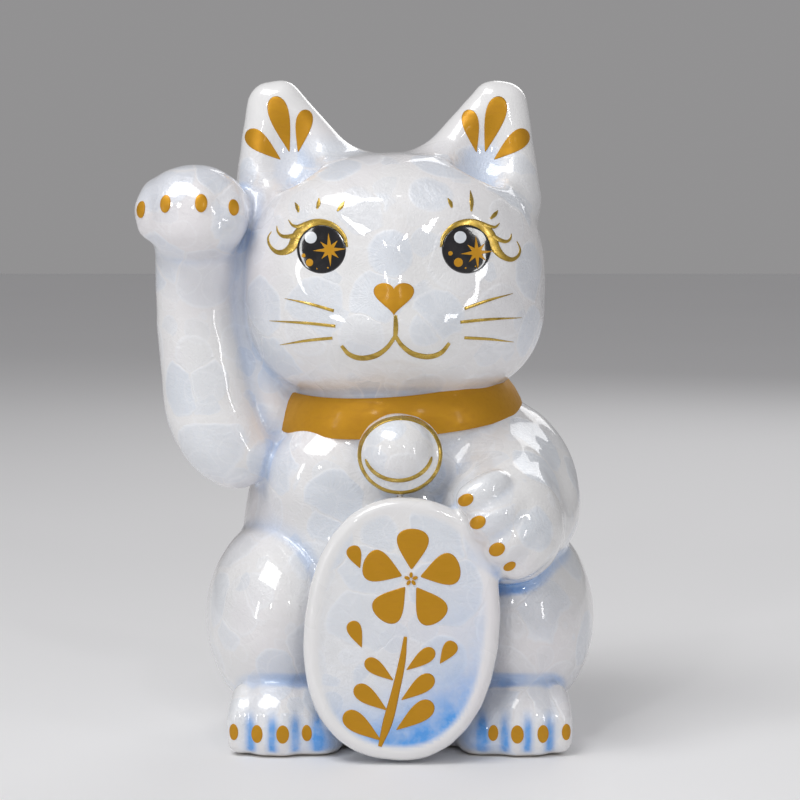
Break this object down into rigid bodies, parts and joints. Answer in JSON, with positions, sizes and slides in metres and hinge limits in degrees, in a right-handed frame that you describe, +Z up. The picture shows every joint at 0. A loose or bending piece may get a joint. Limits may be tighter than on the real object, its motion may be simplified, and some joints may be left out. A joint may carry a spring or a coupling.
{
  "type": "beckoning cat figurine",
  "caption": "Seated porcelain cat with one paw raised beside its head, the other holding an oval coin, with a collar and bell; hollow, on a ring base with a soft stopper.",
  "frame": {"origin": "centre of the foot ring, on the surface that the figurine stands on", "axes": "+Z up, the cat faces -Y, +X is to the right of someone who looks at its face"},
  "size_m": [0.1244, 0.1029, 0.1799],
  "materials": {
    "crystal_glaze": "glossy white porcelain under a crystalline glaze, with pale blue pooled in its creases",
    "gold_enamel": "satin ochre gold fired over the glaze",
    "black_enamel": "glossy black enamel",
    "white_enamel": "glossy white enamel",
    "bisque": "unglazed fired clay, dry and fine-grained",
    "stopper_rubber": "soft off-white moulded stopper"
  },
  "bodies": {
    "cat": {"body_shell": "crystal_glaze", "head_shell": "crystal_glaze", "left_ear": "crystal_glaze", "right_ear": "crystal_glaze", "raised_arm": "crystal_glaze", "raised_paw": "crystal_glaze", "coin_arm": "crystal_glaze", "coin_paw": "crystal_glaze", "left_foot": "crystal_glaze", "right_foot": "crystal_glaze", "tail": "crystal_glaze", "coin": "crystal_glaze", "bell": "crystal_glaze", "collar": "gold_enamel", "floor_disc": "bisque", "left_eye_black": "black_enamel", "right_eye_black": "black_enamel", "left_eye_light": "white_enamel", "right_eye_light": "white_enamel", "left_eye_star": "gold_enamel", "right_eye_star": "gold_enamel", "left_lashes": "gold_enamel", "right_lashes": "gold_enamel", "left_brow_ticks": "gold_enamel", "right_brow_ticks": "gold_enamel", "nose_heart": "gold_enamel", "mouth_line": "gold_enamel", "left_whiskers": "gold_enamel", "right_whiskers": "gold_enamel", "left_ear_petals": "gold_enamel", "right_ear_petals": "gold_enamel", "raised_paw_claws": "gold_enamel", "coin_paw_claws": "gold_enamel", "left_foot_claws": "gold_enamel", "right_foot_claws": "gold_enamel", "bell_ring": "gold_enamel", "bell_line": "gold_enamel", "coin_blossom": "gold_enamel"},
    "stopper": {"stopper": "stopper_rubber"}
  },
  "joints": [
    {"name": "stopper_pull", "type": "slide", "parent": "cat", "child": "stopper", "axis": [0, 0, -1], "range_m": [0, 0.05]}
  ]
}
